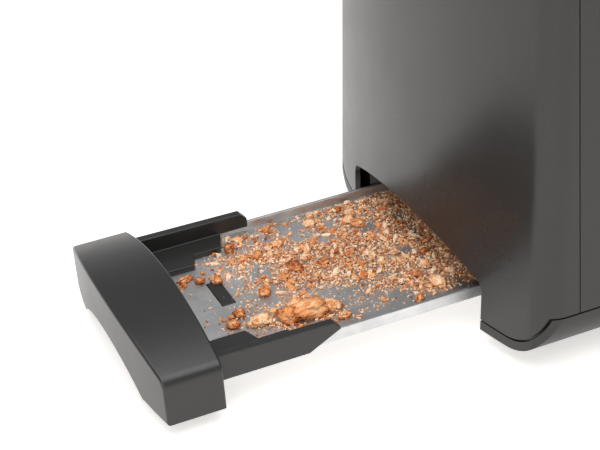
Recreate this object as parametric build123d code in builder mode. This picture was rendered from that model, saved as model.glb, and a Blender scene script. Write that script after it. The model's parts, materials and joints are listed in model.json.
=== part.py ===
"""Two-slot pop-up toaster with its crumb tray pulled out of the tray end.

Millimetres, +Z up.  The origin is the middle of the toaster's footprint, on the
surface that it stands on.  +X runs to the control end, and the crumb tray slides
out towards -X.  "Far" is the +Y side and "near" is the -Y side.
"""

import os
from math import cos, radians, sqrt, tan

from build123d import *

os.makedirs("parts", exist_ok=True)

# ---------------------------------------------------------------- driving dimensions
# Body
body_length = 286.0  # apex to apex of the bowed ends, at bow_level
body_width = 182.0  # widest, at the top of the bottom corners
body_height = 192.0  # surface to the top of the body
foot_height = 6.0  # surface to the underside of the base
end_bow_radius = 313.0  # plan radius of both bowed ends
end_lean = 3.0  # degrees that each end leans in
side_lean = 2.0  # degrees that each side leans in
bottom_corner = 19.0
shoulder_corner = 26.0
end_edge_radius = 12.0
bow_level = foot_height + 12.0
wall = 2.4
cap_depth = 28.0  # apex of an end to the seam with the middle shell
seam_gap = 0.4
base_strip = 4.0  # height of the base that shows below the walls
base_groove = 0.7  # shadow gap between the base and the walls
base_floor = 2.6
clearance = 0.3  # running clearance between plain faces
shaft_clearance = 0.04  # radial clearance of a shaft in its bush

# Crumb tray and its handle
tray_width = 95.0
tray_length = 196.0
tray_rim = 5.1
tray_sheet = 0.8
tray_hem = 1.5
tray_lift = 8.5  # underside of the base to the underside of the tray
tray_out = 131.5  # how far the tray stands out of its home position
handle_overhang = 8.5  # each side of the tray
handle_depth = 23.5  # at its ends
handle_end_height = 19.5
handle_arch = 10.5  # extra height in the middle
handle_corner = 5.0
opening_gap = 0.8  # between the handle and the opening round it
arm_wall = 2.0
arm_length = 51.0
tab_width = 18.4
tab_length = 5.6

# Bread slots and what stands round them
slot_pitch = 54.0  # between the middles of the two slots
slot_length = 152.0
slot_width = 33.0
slot_middle = -8.0  # X of the middle of the slots
oven_margin = 12.0  # each end of a slot to the chassis plate
plate_sheet = 1.0
reflector_sheet = 0.8
card_gap = 4.5  # between a guard and its heater card
reflector_gap = 4.5  # between an outer card and its reflector
card_sheet = 0.6
ribbon_sheet = 0.25
ribbon_turns = 9
guard_wire = 2.0
guard_gap = 30.0  # between the two guards of a slot
guard_bars = 9
oven_floor = 36.0
oven_head = 16.0  # top of the oven to the top of the body

# Carriage and lever
rack_down = 53.0  # height of the racks with the carriage down
rack_head = 54.0  # racks with the carriage up to the top of the body
rack_width = 9.0
rack_sheet = 1.0
rod_diameter = 5.0
rod_reach = 21.0  # from the oven's plate
rod_y = 15.0
lever_slot_width = 8.0
lever_sheet = 2.5
spring_wire = 1.0
spring_turns = 12

# Controls
knob_diameter = 32.0
knob_height = 12.0
control_y = 46.0
knob_z = 66.0
shaft_diameter = 6.0
button_width = 16.0
button_height = 9.0
button_travel = 1.5
button_head = 52.0  # middle of the top button to the top of the body
button_pitch = 18.0
board_inset = 31.0  # from the apex of the control end
board_sheet = 1.6
gland_bore = 7.2
gland_y = -56.0
gland_z = 30.0

# Fasteners and feet
foot_diameter = 18.0
foot_inset_x = 39.0
foot_inset_y = 31.0
screw_diameter = 3.5
screw_head = 6.5

# ---------------------------------------------------------------- worked-out values
half_length = body_length / 2
half_width = body_width / 2
belly_z = foot_height + bottom_corner
seam_x = half_length - cap_depth
wall_bottom = foot_height + base_strip + base_groove
floor_top = foot_height + base_floor
foot_x = half_length - foot_inset_x
foot_y = half_width - foot_inset_y
tray_bottom = foot_height + tray_lift
handle_width = tray_width + 2 * handle_overhang
home_x = -half_length + handle_depth + handle_width**2 / 8 / end_bow_radius
handle_x = home_x - tray_out  # rear plane of the handle, where the tray starts
oven_length = slot_length + 2 * oven_margin
oven_start = slot_middle - oven_length / 2 - 1.0
oven_end = oven_start + oven_length
oven_top = body_height - oven_head
slot_ys = (-slot_pitch / 2, slot_pitch / 2)
outer_card_y = (slot_pitch + guard_gap) / 2 + guard_wire / 2 + card_gap
inner_card_y = (slot_pitch - guard_gap) / 2 - guard_wire / 2 - card_gap
reflector_y = outer_card_y + reflector_gap
rack_top = body_height - rack_head
travel = rack_top - rack_down
rod_x = oven_end + rod_reach
board_x = half_length - board_inset
top_button = body_height - button_head
button_levels = {
    "cancel": top_button - 2 * button_pitch,
    "reheat": top_button - button_pitch,
    "defrost": top_button,
}


def bow(radius, y):
    """How far an arc of this radius has fallen back at a distance y from its apex."""
    return radius - sqrt(radius**2 - y**2)


def half_width_at(z, inset=0.0):
    """Half the body's width at height z, inset from the outer skin."""
    return half_width - inset / cos(radians(side_lean)) - (z - belly_z) * tan(radians(side_lean))


def end_skin(y, z):
    """X of the control end's outer skin at (y, z)."""
    lean = (z - bow_level) * tan(radians(end_lean))
    return half_length - bow(end_bow_radius, y) - lean


# ---------------------------------------------------------------- body form
def body_form(inset, bottom):
    """The closed form of the body, inset evenly from its skin, down to height bottom."""
    top = body_height - inset
    below = bottom - 40.0
    corner = max(bottom_corner - inset, 1.0)
    with BuildPart() as form:
        with BuildSketch(Plane.YZ.offset(-half_length - 20.0)) as section:
            with BuildLine():
                Polyline(
                    (-half_width_at(below, inset), below),
                    (half_width_at(below, inset), below),
                    (half_width_at(top, inset), top),
                    (-half_width_at(top, inset), top),
                    close=True,
                )
            make_face()
            fillet(section.vertices().group_by(Axis.Y)[-1], shoulder_corner - inset)
            fillet(section.vertices().group_by(Axis.Y)[0], end_edge_radius + 3.0)
        extrude(amount=body_length + 40.0)
        for side in (-1, 1):
            centre = side * (half_length - end_bow_radius)
            with Locations(Location((centre, 0, bow_level), (0, -side * end_lean, 0))):
                Cylinder(end_bow_radius - inset, 900.0, mode=Mode.INTERSECT)
        ends = form.faces().sort_by(Axis.X)
        fillet(ends[0].edges() + ends[-1].edges(), end_edge_radius - inset)
        with BuildSketch(Plane.YZ.offset(-half_length - 20.0)) as footing:
            with BuildLine():
                Polyline(
                    (-half_width_at(bottom, inset), bottom),
                    (half_width_at(bottom, inset), bottom),
                    (half_width_at(top + 9.0, inset), top + 9.0),
                    (-half_width_at(top + 9.0, inset), top + 9.0),
                    close=True,
                )
            make_face()
            fillet(footing.vertices().group_by(Axis.Y)[0], corner)
        extrude(amount=body_length + 40.0, mode=Mode.INTERSECT)
    return form.part


def dish_section(gap):
    """End view of the walls' lower outline: what lies under it belongs to the base."""
    low = foot_height + base_strip + gap
    out = half_width_at(belly_z) - 1.2 - gap
    high = body_height + 20.0
    with BuildSketch() as section:
        with BuildLine():
            Polyline((-out, low), (out, low), (out, high), (-out, high), close=True)
        make_face()
        fillet(section.vertices().group_by(Axis.Y)[0], bottom_corner - 1.2)
    return section.sketch


skin_form = body_form(0.0, foot_height)
middle_form = body_form(wall / 2, foot_height + wall / 2)
hollow_form = body_form(wall, floor_top)


def above_base(gap):
    """Everything above the line where the walls meet the base, a gap clear of it."""
    with BuildPart() as region:
        with BuildSketch(Plane.YZ.offset(-half_length - 20.0)):
            add(dish_section(gap))
            with Locations((0, belly_z + gap + 150.0)):
                Rectangle(body_width + 40.0, 300.0)
        extrude(amount=body_length + 40.0)
    return region.part


def opening_section(gap):
    """Arched outline of the tray opening, a gap wider than the handle."""
    half = handle_width / 2 + gap
    end = foot_height + handle_end_height + gap
    with BuildSketch() as section:
        with BuildLine():
            ThreePointArc((-half, end), (0, end + handle_arch), (half, end))
            Polyline((half, end), (half, 0.0), (-half, 0.0), (-half, end))
        make_face()
        fillet(section.vertices().group_by(Axis.Y)[-1], handle_corner)
    return section.sketch


# ---------------------------------------------------------------- housing
with BuildPart() as walls:
    add(skin_form)
    add(above_base(base_groove), mode=Mode.INTERSECT)
with BuildPart() as seats:
    add(middle_form)
    add(above_base(0.0), mode=Mode.INTERSECT)


def between(low, high):
    """A slab of space between two X positions, larger than the body."""
    with BuildPart() as slab:
        with BuildSketch(Plane.YZ.offset(low)):
            Rectangle(3 * body_width, 6 * body_height)
        extrude(amount=high - low)
    return slab.part


def layer(low, high):
    """A slab of space between two heights, larger than the body."""
    with BuildPart() as slab:
        with BuildSketch(Plane.XY.offset(low)):
            Rectangle(2 * body_length, 2 * body_width)
        extrude(amount=high - low)
    return slab.part


def housing_piece(low, high, seat_low, seat_high):
    """Wall between two X positions, with an inner half that seats on its neighbours."""
    with BuildPart() as outside:
        add(walls.part)
        add(between(low, high), mode=Mode.INTERSECT)
    with BuildPart() as inside:
        add(seats.part)
        add(between(seat_low, seat_high), mode=Mode.INTERSECT)
    with BuildPart() as piece:
        add(outside.part)
        add(inside.part)
        add(hollow_form, mode=Mode.SUBTRACT)
    return piece.part


window_length = slot_length + 18.0
window_width = slot_pitch + slot_width + 12.0
outer_end = half_length + 20.0

# Middle shell: both long sides and the top in one wrap, with the window for the slots.
with BuildPart() as main_shell:
    add(housing_piece(-seam_x + seam_gap, seam_x - seam_gap, -seam_x, seam_x))
    with BuildSketch(Plane.XY.offset(body_height - 20.0)):
        with Locations((slot_middle, 0)):
            RectangleRounded(window_length, window_width, 8.0)
    extrude(amount=40.0, mode=Mode.SUBTRACT)
main_shell.part.label = "main_shell"

# Screw posts of the end panels: a block from each side wall over a boss of the base.
post_x = seam_x + 9.0
post_width = 10.0
post_y = handle_width / 2 + opening_gap + post_width / 2 + 4.2
post_bottom = floor_top + 3.4
post_height = 12.0


def panel_posts(x):
    """The two screw blocks of an end panel, with their screw holes."""
    with BuildPart() as posts:
        for side in (-1, 1):
            reach = half_width - 1.6 - post_y + post_width / 2
            middle = side * (post_y - post_width / 2 + reach / 2)
            with BuildSketch(Plane.XY.offset(post_bottom)):
                with Locations((x, middle)):
                    Rectangle(post_width, reach)
            extrude(amount=post_height)
        add(middle_form, mode=Mode.INTERSECT)
        add(above_base(0.0), mode=Mode.INTERSECT)
        with BuildSketch(Plane.XY.offset(post_bottom)):
            with Locations((x, -post_y), (x, post_y)):
                Circle(screw_diameter / 2)
        extrude(amount=post_height - 2.0, mode=Mode.SUBTRACT)
    return posts.part


# Tray end panel, with the arched opening that the handle closes.
with BuildPart() as tray_end_panel:
    add(housing_piece(-outer_end, -seam_x, -outer_end, -seam_x))
    add(panel_posts(-post_x))
    with BuildSketch(Plane.YZ.offset(-outer_end)):
        add(opening_section(opening_gap))
    extrude(amount=outer_end - seam_x + 2.0, mode=Mode.SUBTRACT)
tray_end_panel.part.label = "tray_end_panel"

# Control end panel: lever slot, button and shaft holes, gland hole, board posts.
lever_z = rack_top - 7.0
lever_height = 8.0
lever_slot_low = lever_z - travel - lever_height / 2 - 3.0
lever_slot_high = lever_z + lever_height / 2 + 3.0
board_low = 44.0
board_high = top_button + 18.0
board_width = 44.0
board_posts = [(control_y - 16.0, board_low + 6.0), (control_y + 16.0, board_high - 6.0)]
button_gap = 0.4
gland_body = 10.0
board_front = board_x + board_sheet

with BuildPart() as control_end_panel:
    add(housing_piece(seam_x, outer_end, seam_x, outer_end))
    add(panel_posts(post_x))
    for y, z in board_posts:
        with BuildSketch(Plane.YZ.offset(board_front)):
            with Locations((y, z)):
                Circle(3.5)
        extrude(amount=end_skin(y, z) - wall / 2 - board_front)
        with BuildSketch(Plane.YZ.offset(board_front)):
            with Locations((y, z)):
                Circle(screw_diameter / 2)
        extrude(amount=10.0, mode=Mode.SUBTRACT)
    with BuildSketch(Plane.YZ.offset(seam_x + 4.0)) as holes:
        with Locations((0, (lever_slot_low + lever_slot_high) / 2)):
            SlotOverall(lever_slot_high - lever_slot_low, lever_slot_width, rotation=90)
        with Locations((control_y, knob_z)):
            Circle(shaft_diameter / 2 + 0.5)
        for level in button_levels.values():
            with Locations((control_y, level)):
                RectangleRounded(
                    button_width + 2 * button_gap, button_height + 2 * button_gap, 2.0
                )
        with Locations((gland_y, gland_z)):
            Circle(gland_body / 2 + 0.1)
    extrude(amount=outer_end - seam_x, mode=Mode.SUBTRACT)
control_end_panel.part.label = "control_end_panel"

# Frame round the bread slots, with a throat that guides the bread into each.
frame_sheet = 1.4
throat_sheet = 1.0
throat_bottom = oven_top + 5.0
with BuildPart() as slot_frame:
    with BuildSketch(Plane.XY.offset(body_height)):
        with Locations((slot_middle, 0)):
            RectangleRounded(window_length + 8.0, window_width + 8.0, 11.0)
    extrude(amount=frame_sheet)
    fillet(slot_frame.edges().group_by(Axis.Z)[-1], frame_sheet - 0.4)
    with BuildSketch(Plane.XY.offset(throat_bottom)):
        for y in slot_ys:
            with Locations((slot_middle, y)):
                RectangleRounded(
                    slot_length + 2 * throat_sheet, slot_width + 2 * throat_sheet, 5.0
                )
    extrude(amount=body_height - throat_bottom)
    with BuildSketch(Plane.XY.offset(throat_bottom)):
        for y in slot_ys:
            with Locations((slot_middle, y)):
                RectangleRounded(slot_length, slot_width, 4.0)
    extrude(amount=body_height, mode=Mode.SUBTRACT)
slot_frame.part.label = "slot_frame"

# ---------------------------------------------------------------- base
leg_width = 12.0
leg_foot = 12.0
boss_top = post_bottom
boss_diameter = 9.0
rail_y = tray_width / 2 - 7.5
rail_width = 3.0
arm_outer = tray_width / 2 + arm_wall
guide_inner = arm_outer + clearance
guide_wall = 2.0
leg_y = guide_inner + guide_wall + leg_width / 2 + 0.2
rail_start = home_x + 6.0
rail_end = home_x + tray_length + clearance + 1.0
rim_top = tray_bottom + tray_rim
keeper_start = home_x + arm_length + 8.0
core_x = rod_x - 4.0
core_y = -24.0
core_depth = 12.0
core_width = 24.0
core_bottom = floor_top + 5.0
leg_xs = (oven_start + leg_foot / 2, oven_end + plate_sheet + leg_foot / 2)
base_screws_at = [(x, y) for x in leg_xs for y in (-leg_y, leg_y)]
base_screws_at += [(x, y) for x in (-post_x, post_x) for y in (-post_y, post_y)]
feet_at = [(x, y) for x in (-foot_x, foot_x) for y in (-foot_y, foot_y)]
foot_plug = 8.0
rod_boss_top = floor_top + 7.4
head_depth = 1.6


def upright_blocks(places, size_x, size_y, low, high):
    """Blocks of one size at several (x, y) places, between two heights."""
    with BuildPart() as blocks:
        with BuildSketch(Plane.XY.offset(low)):
            with Locations(*places):
                Rectangle(size_x, size_y)
        extrude(amount=high - low)
    return blocks.part


def upright_rods(places, diameter, low, high):
    """Round posts or holes at several (x, y) places, between two heights."""
    with BuildPart() as rods:
        with BuildSketch(Plane.XY.offset(low)):
            with Locations(*places):
                Circle(diameter / 2)
        extrude(amount=high - low)
    return rods.part


rail_length = rail_end - rail_start
rail_middle = rail_start + rail_length / 2
rails_at = [(rail_middle, -rail_y), (rail_middle, rail_y)]
guide_y = guide_inner + guide_wall / 2
guides_at = [(rail_middle, -guide_y), (rail_middle, guide_y)]
keeper_top = rim_top + clearance + 1.6
keeper_length = rail_end - keeper_start
keeper_width = guide_inner + guide_wall - (tray_width / 2 - 1.0)
keeper_y = tray_width / 2 - 1.0 + keeper_width / 2
keepers_at = [(keeper_start + keeper_length / 2, side * keeper_y) for side in (-1, 1)]

# Base: a shallow dish with tray rails, guides with keepers over the rims, and bosses.
with BuildPart() as base_plate:
    add(skin_form)
    add(layer(0.0, belly_z), mode=Mode.INTERSECT)
    add(above_base(0.0), mode=Mode.SUBTRACT)
    add(hollow_form, mode=Mode.SUBTRACT)
    add(upright_blocks(rails_at, rail_length, rail_width, floor_top - 1.0, tray_bottom - clearance))
    add(upright_blocks(guides_at, rail_length, guide_wall, floor_top - 1.0, keeper_top))
    add(upright_blocks(keepers_at, keeper_length, keeper_width, keeper_top - 1.6, keeper_top))
    add(upright_rods(base_screws_at, boss_diameter, floor_top - 1.0, boss_top))
    add(upright_rods([(rod_x, rod_y)], rod_diameter + 7.0, floor_top - 1.0, rod_boss_top))
    add(
        upright_blocks(
            [(core_x, core_y)], core_depth + 4.0, core_width + 4.0, floor_top - 1.0, core_bottom
        )
    )
    with BuildSketch(Plane.YZ.offset(-outer_end)):
        add(opening_section(opening_gap))
    extrude(amount=outer_end + home_x + clearance, mode=Mode.SUBTRACT)
    add(upright_rods([(rod_x, rod_y)], rod_diameter, floor_top + 1.0, 60.0), mode=Mode.SUBTRACT)
    add(upright_rods(base_screws_at, screw_diameter, 0.0, 60.0), mode=Mode.SUBTRACT)
    add(
        upright_rods(base_screws_at, screw_head + 1.0, 0.0, foot_height + head_depth),
        mode=Mode.SUBTRACT,
    )
    add(upright_rods(feet_at, foot_plug, 0.0, floor_top + 1.0), mode=Mode.SUBTRACT)
base_plate.part.label = "base_plate"

# Four rubber feet, each a pad with a plug through the base.
with BuildPart() as rubber_feet:
    with BuildSketch():
        with Locations(*feet_at):
            Circle(foot_diameter / 2)
    extrude(amount=foot_height)
    fillet(rubber_feet.edges().group_by(Axis.Z)[0], 1.0)
    with BuildSketch(Plane.XY.offset(foot_height)):
        with Locations(*feet_at):
            Circle(foot_plug / 2)
    extrude(amount=base_floor + 1.0)
rubber_feet.part.label = "rubber_feet"


def screws_up(places, head_bottom, length):
    """Pan-head screws driven upwards at several (x, y) places."""
    with BuildPart() as screws:
        with BuildSketch(Plane.XY.offset(head_bottom)):
            with Locations(*places):
                Circle(screw_head / 2)
        extrude(amount=head_depth)
        fillet(screws.edges().group_by(Axis.Z)[0], 0.7)
        with BuildSketch(Plane.XY.offset(head_bottom + head_depth)):
            with Locations(*places):
                Circle(screw_diameter / 2)
        extrude(amount=length)
        with BuildSketch(Plane.XY.offset(head_bottom)):
            with Locations(*places):
                Rectangle(3.6, 0.8)
                Rectangle(0.8, 3.6)
        extrude(amount=0.9, mode=Mode.SUBTRACT)
    return screws.part


with BuildPart() as base_screws:
    add(screws_up(base_screws_at, foot_height, 12.0))
base_screws.part.label = "base_screws"

# Cord gland in its hole in the control end, without a cord.
gland_flange = 14.0
gland_seat = end_skin(gland_y + gland_flange / 2, gland_z - gland_flange / 2) + 0.1
with BuildPart() as cord_gland:
    with BuildSketch(Plane.YZ.offset(seam_x + 10.0)):
        with Locations((gland_y, gland_z)):
            Circle(gland_body / 2)
    extrude(amount=gland_seat - seam_x - 10.0)
    with BuildSketch(Plane.YZ.offset(gland_seat)):
        with Locations((gland_y, gland_z)):
            Circle(gland_flange / 2)
    extrude(amount=3.2)
    fillet(cord_gland.edges().group_by(Axis.X)[-1], 1.2)
    with BuildSketch(Plane.YZ.offset(seam_x + 5.0)):
        with Locations((gland_y, gland_z)):
            Circle(gland_bore / 2)
    extrude(amount=40.0, mode=Mode.SUBTRACT)
cord_gland.part.label = "cord_gland"

# ---------------------------------------------------------------- oven
guard_ys = [y + side * (guard_gap + guard_wire) / 2 for y in slot_ys for side in (-1, 1)]
hinge_z = oven_floor + 5.0
rack_slot_width = 7.0
plate_half = max(reflector_y + 10.0, leg_y + 4.0)
neck_width = 4.0


def chassis_plate(x):
    """End plate of the oven: upright sheet on two legs with feet turned to +X."""
    with BuildPart() as plate:
        with BuildSketch(Plane.YZ.offset(x)):
            with Locations((0, (oven_floor - 4.0 + oven_top) / 2)):
                Rectangle(2 * plate_half, oven_top - oven_floor + 4.0)
            with Locations((-leg_y, 22.0), (leg_y, 22.0)):
                Rectangle(leg_width, 2 * (22.0 - boss_top))
            with Locations(*[(y, hinge_z) for y in guard_ys]):
                Circle(guard_wire / 2 + shaft_clearance, mode=Mode.SUBTRACT)
            with Locations((0, 120.0)):
                with GridLocations(10.0, 16.0, 1, 4):
                    SlotOverall(12.0, 3.0, mode=Mode.SUBTRACT)
        extrude(amount=plate_sheet)
        reach = leg_foot + plate_sheet
        with BuildSketch(Plane.XY.offset(boss_top)):
            with Locations((x + reach / 2, -leg_y), (x + reach / 2, leg_y)):
                Rectangle(reach, leg_width)
        extrude(amount=plate_sheet)
        add(
            upright_rods(base_screws_at, screw_diameter, boss_top - 1.0, boss_top + 4.0),
            mode=Mode.SUBTRACT,
        )
    return plate.part


with BuildPart() as chassis_plate_tray_end:
    add(chassis_plate(oven_start - plate_sheet))
chassis_plate_tray_end.part.label = "chassis_plate_tray_end"

rack_slot_low = rack_top - travel - 10.0
rack_slot_high = rack_top + 4.0
with BuildPart() as chassis_plate_control_end:
    add(chassis_plate(oven_end))
    with BuildSketch(Plane.YZ.offset(oven_end - 5.0)):
        with Locations(*[(y, (rack_slot_low + rack_slot_high) / 2) for y in slot_ys]):
            SlotOverall(rack_slot_high - rack_slot_low, rack_slot_width, rotation=90)
    extrude(amount=10.0, mode=Mode.SUBTRACT)
chassis_plate_control_end.part.label = "chassis_plate_control_end"


def upright_sheet(y, thickness, low, high, margin):
    """A sheet along the oven with its near face at y."""
    with BuildPart() as sheet:
        with BuildSketch(Plane.XZ.offset(-y)):
            with Locations(((oven_start + oven_end) / 2, (low + high) / 2)):
                Rectangle(oven_length - 2 * margin, high - low)
        extrude(amount=-thickness)
    return sheet.part


with BuildPart() as side_reflector_near:
    add(upright_sheet(-reflector_y - reflector_sheet, reflector_sheet, oven_floor, oven_top, 0.0))
side_reflector_near.part.label = "side_reflector_near"

with BuildPart() as side_reflector_far:
    add(upright_sheet(reflector_y, reflector_sheet, oven_floor, oven_top, 0.0))
side_reflector_far.part.label = "side_reflector_far"

card_low = oven_floor + 6.0
card_high = oven_top - 4.0
ribbon_width = 1.4
ribbon_pitch = (card_high - card_low - 16.0) / (ribbon_turns - 1)
ribbon_run = slot_length - 4.0


def heater_ribbon(y, facing):
    """A zigzag of flat resistance wire on the face of a heater card."""
    low = card_low + 8.0
    start = y + card_sheet / 2 if facing > 0 else y - card_sheet / 2 - ribbon_sheet
    with BuildPart() as ribbon:
        with BuildSketch(Plane.XZ.offset(-start)):
            for turn in range(ribbon_turns):
                with Locations((slot_middle, low + turn * ribbon_pitch)):
                    Rectangle(ribbon_run, ribbon_width)
            for turn in range(ribbon_turns - 1):
                end = slot_middle + (1 if turn % 2 else -1) * (ribbon_run - ribbon_width) / 2
                with Locations((end, low + (turn + 0.5) * ribbon_pitch)):
                    Rectangle(ribbon_width, ribbon_pitch)
        extrude(amount=-ribbon_sheet)
    return ribbon.part


# Four heater cards with their wire, each facing the slot that it toasts.
heaters = {
    "outer_near": (-outer_card_y, 1),
    "inner_near": (-inner_card_y, -1),
    "inner_far": (inner_card_y, 1),
    "outer_far": (outer_card_y, -1),
}
for place, (y, facing) in heaters.items():
    with BuildPart() as heater_card:
        add(upright_sheet(y - card_sheet / 2, card_sheet, card_low, card_high, 0.0))
    heater_card.part.label = "heater_card_" + place
    export_step(heater_card.part, "parts/heater_card_" + place + ".step")
    with BuildPart() as heating_wire:
        add(heater_ribbon(y, facing))
    heating_wire.part.label = "heating_wire_" + place
    export_step(heating_wire.part, "parts/heating_wire_" + place + ".step")

guard_top = oven_top - 8.0
guard_half = slot_length / 2 - 8.0
bar_pitch = 2 * guard_half / (guard_bars - 1)


def bread_guard(y):
    """A guard of welded wire, whose lowest wire is its hinge in the chassis plates."""
    with BuildPart() as guard:
        with BuildSketch(Plane.YZ.offset(oven_start - plate_sheet - 1.0)):
            with Locations((y, hinge_z)):
                Circle(guard_wire / 2)
        extrude(amount=oven_length + 2 * plate_sheet + 2.0)
        with BuildSketch(Plane.YZ.offset(slot_middle - guard_half - guard_wire / 2)):
            with Locations((y, guard_top), (y, (guard_top + hinge_z) / 2)):
                Circle(guard_wire / 2)
        extrude(amount=2 * guard_half + guard_wire)
        with BuildSketch(Plane.XY.offset(hinge_z)):
            with Locations((slot_middle, y)):
                with GridLocations(bar_pitch, 1.0, guard_bars, 1):
                    Circle(guard_wire / 2 - 0.1)
        extrude(amount=guard_top - hinge_z)
    return guard.part


# Four wire guards, two to a slot, which lean in and centre the bread.
guards = dict(zip(("1_outer", "1_inner", "2_inner", "2_outer"), guard_ys))
for place, y in guards.items():
    with BuildPart() as guard_piece:
        add(bread_guard(y))
    guard_piece.part.label = "bread_guard_" + place
    export_step(guard_piece.part, "parts/bread_guard_" + place + ".step")

# ---------------------------------------------------------------- carriage
bracket_x = oven_end + plate_sheet + 6.0
bracket_sheet = 1.5
bracket_low = rack_top - 18.0
bracket_front = bracket_x + bracket_sheet
rack_floor = rack_top - 6.0
rack_start = slot_middle - slot_length / 2 + 4.0
rack_end = oven_end - 3.0
notches = 9


def bread_rack(y):
    """A steel channel with notched edges that lifts one slice, and its neck."""
    with BuildPart() as rack:
        with BuildSketch(Plane.YZ.offset(rack_start)):
            with Locations((y, rack_floor + rack_sheet / 2)):
                Rectangle(rack_width, rack_sheet)
            for side in (-1, 1):
                with Locations((y + side * (rack_width - rack_sheet) / 2, rack_floor + 3.0)):
                    Rectangle(rack_sheet, 6.0)
        extrude(amount=rack_end - rack_start)
        with BuildSketch(Plane.XZ.offset(-y - rack_width)):
            with Locations(((rack_start + rack_end) / 2, rack_top)):
                with GridLocations((rack_end - rack_start) / (notches + 1), 1.0, notches, 1):
                    Circle(3.6)
        extrude(amount=2 * rack_width, mode=Mode.SUBTRACT)
        with BuildSketch(Plane.XY.offset(rack_floor)):
            with Locations(((rack_end - 6.0 + bracket_x) / 2, y)):
                Rectangle(bracket_x - rack_end + 6.0, neck_width)
        extrude(amount=rack_sheet)
    return rack.part


with BuildPart() as bread_rack_near:
    add(bread_rack(slot_ys[0]))
bread_rack_near.part.label = "bread_rack_near"

with BuildPart() as bread_rack_far:
    add(bread_rack(slot_ys[1]))
bread_rack_far.part.label = "bread_rack_far"

# Cross bracket that carries both racks, outside the oven.
with BuildPart() as carriage_bracket:
    with BuildSketch(Plane.YZ.offset(bracket_x)):
        with Locations((0, (bracket_low + rack_top) / 2)):
            RectangleRounded(slot_pitch + 14.0, rack_top - bracket_low, 3.0)
        with Locations((-12.0, bracket_low + 9.0), (12.0, bracket_low + 9.0)):
            Circle(3.0, mode=Mode.SUBTRACT)
    extrude(amount=bracket_sheet)
carriage_bracket.part.label = "carriage_bracket"

# Bush that runs on the guide rod.
bush_width = rod_diameter + 9.0
bush_end = rod_x + rod_diameter / 2 + 4.5
with BuildPart() as carriage_bush:
    with BuildSketch(Plane.XY.offset(bracket_low)):
        with Locations(((bracket_front + bush_end) / 2, rod_y)):
            RectangleRounded(bush_end - bracket_front, bush_width, 2.0)
        with Locations((rod_x, rod_y)):
            Circle(rod_diameter / 2 + shaft_clearance, mode=Mode.SUBTRACT)
    extrude(amount=rack_top - bracket_low + 2.0)
carriage_bush.part.label = "carriage_bush"

# Lever arm from the bracket out through the slot in the control end.
knob_inner_x = half_length + 2.0
lever_knob_depth = 18.0
with BuildPart() as lever_arm:
    with BuildSketch(Plane.XZ.offset(-lever_sheet / 2)):
        with Locations(((bracket_front + knob_inner_x + 10.0) / 2, lever_z)):
            Rectangle(knob_inner_x + 10.0 - bracket_front, lever_height)
    extrude(amount=lever_sheet)
lever_arm.part.label = "lever_arm"

with BuildPart() as lever_knob:
    with BuildSketch(Plane.YZ.offset(knob_inner_x)):
        with Locations((0, lever_z)):
            RectangleRounded(40.0, 15.0, 6.0)
    extrude(amount=lever_knob_depth, taper=6.0)
    fillet(lever_knob.edges().group_by(Axis.X)[-1], 4.0)
    with BuildSketch(Plane.YZ.offset(knob_inner_x - 1.0)):
        with Locations((0, lever_z)):
            Rectangle(lever_sheet, lever_height)
    extrude(amount=11.0, mode=Mode.SUBTRACT)
lever_knob.part.label = "lever_knob"

# Latch plate that the magnet holds when the lever is down.
latch_sheet = 1.5
with BuildPart() as latch_plate:
    with BuildSketch(Plane.XY.offset(bracket_low + 1.0)):
        with Locations(((bracket_front + core_x + core_depth / 2) / 2, core_y)):
            Rectangle(core_x + core_depth / 2 - bracket_front, core_width)
    extrude(amount=latch_sheet)
latch_plate.part.label = "latch_plate"

# Guide rod, its top bracket and the spring that lifts the carriage.
rod_top = oven_top - 3.0
with BuildPart() as guide_rod:
    add(upright_rods([(rod_x, rod_y)], rod_diameter, floor_top + 1.0, rod_top))
guide_rod.part.label = "guide_rod"

with BuildPart() as rod_bracket:
    reach = rod_x + 6.0 - oven_end - plate_sheet
    with BuildSketch(Plane.XY.offset(rod_top - 4.0)):
        with Locations((rod_x + 6.0 - reach / 2, rod_y)):
            Rectangle(reach, 14.0)
        with Locations((rod_x, rod_y)):
            Circle(rod_diameter / 2, mode=Mode.SUBTRACT)
    extrude(amount=1.5)
    with BuildSketch(Plane.YZ.offset(oven_end + plate_sheet)):
        with Locations((rod_y, rod_top - 8.0)):
            Rectangle(14.0, 9.5)
    extrude(amount=1.5)
rod_bracket.part.label = "rod_bracket"

spring_radius = rod_diameter / 2 + 0.7 + spring_wire / 2
spring_low = rod_boss_top + spring_wire / 2 + 0.1
spring_high = bracket_low - spring_wire / 2 - 0.1
spring_height = spring_high - spring_low
with BuildPart() as carriage_spring:
    with BuildLine(Plane((rod_x, rod_y, spring_low))) as coil:
        Helix(spring_height / spring_turns, spring_height, spring_radius)
    with BuildSketch(Plane(coil.wires()[0] @ 0, z_dir=coil.wires()[0] % 0)):
        Circle(spring_wire / 2)
    sweep(is_frenet=True)
carriage_spring.part.label = "carriage_spring"

# Electromagnet: an E-shaped core on the base, with its coil on the middle leg.
latch_gap = 0.4
core_top = bracket_low + 1.0 - travel - latch_gap
yoke = 4.0
core_leg = 4.0
core_centre_leg = 6.0
coil_low = core_bottom + yoke + 0.2
coil_high = core_top - 2.0
coil_gap = (core_width - 2 * core_leg - core_centre_leg) / 2
with BuildPart() as magnet_core:
    with BuildSketch(Plane.YZ.offset(core_x - core_depth / 2)):
        with Locations((core_y, (core_bottom + core_top) / 2)):
            Rectangle(core_width, core_top - core_bottom)
        with Locations((core_y, (core_bottom + yoke + core_top) / 2)):
            Rectangle(core_width - 2 * core_leg, core_top - core_bottom - yoke, mode=Mode.SUBTRACT)
            Rectangle(core_centre_leg, core_top - core_bottom - yoke)
    extrude(amount=core_depth)
magnet_core.part.label = "magnet_core"

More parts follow.
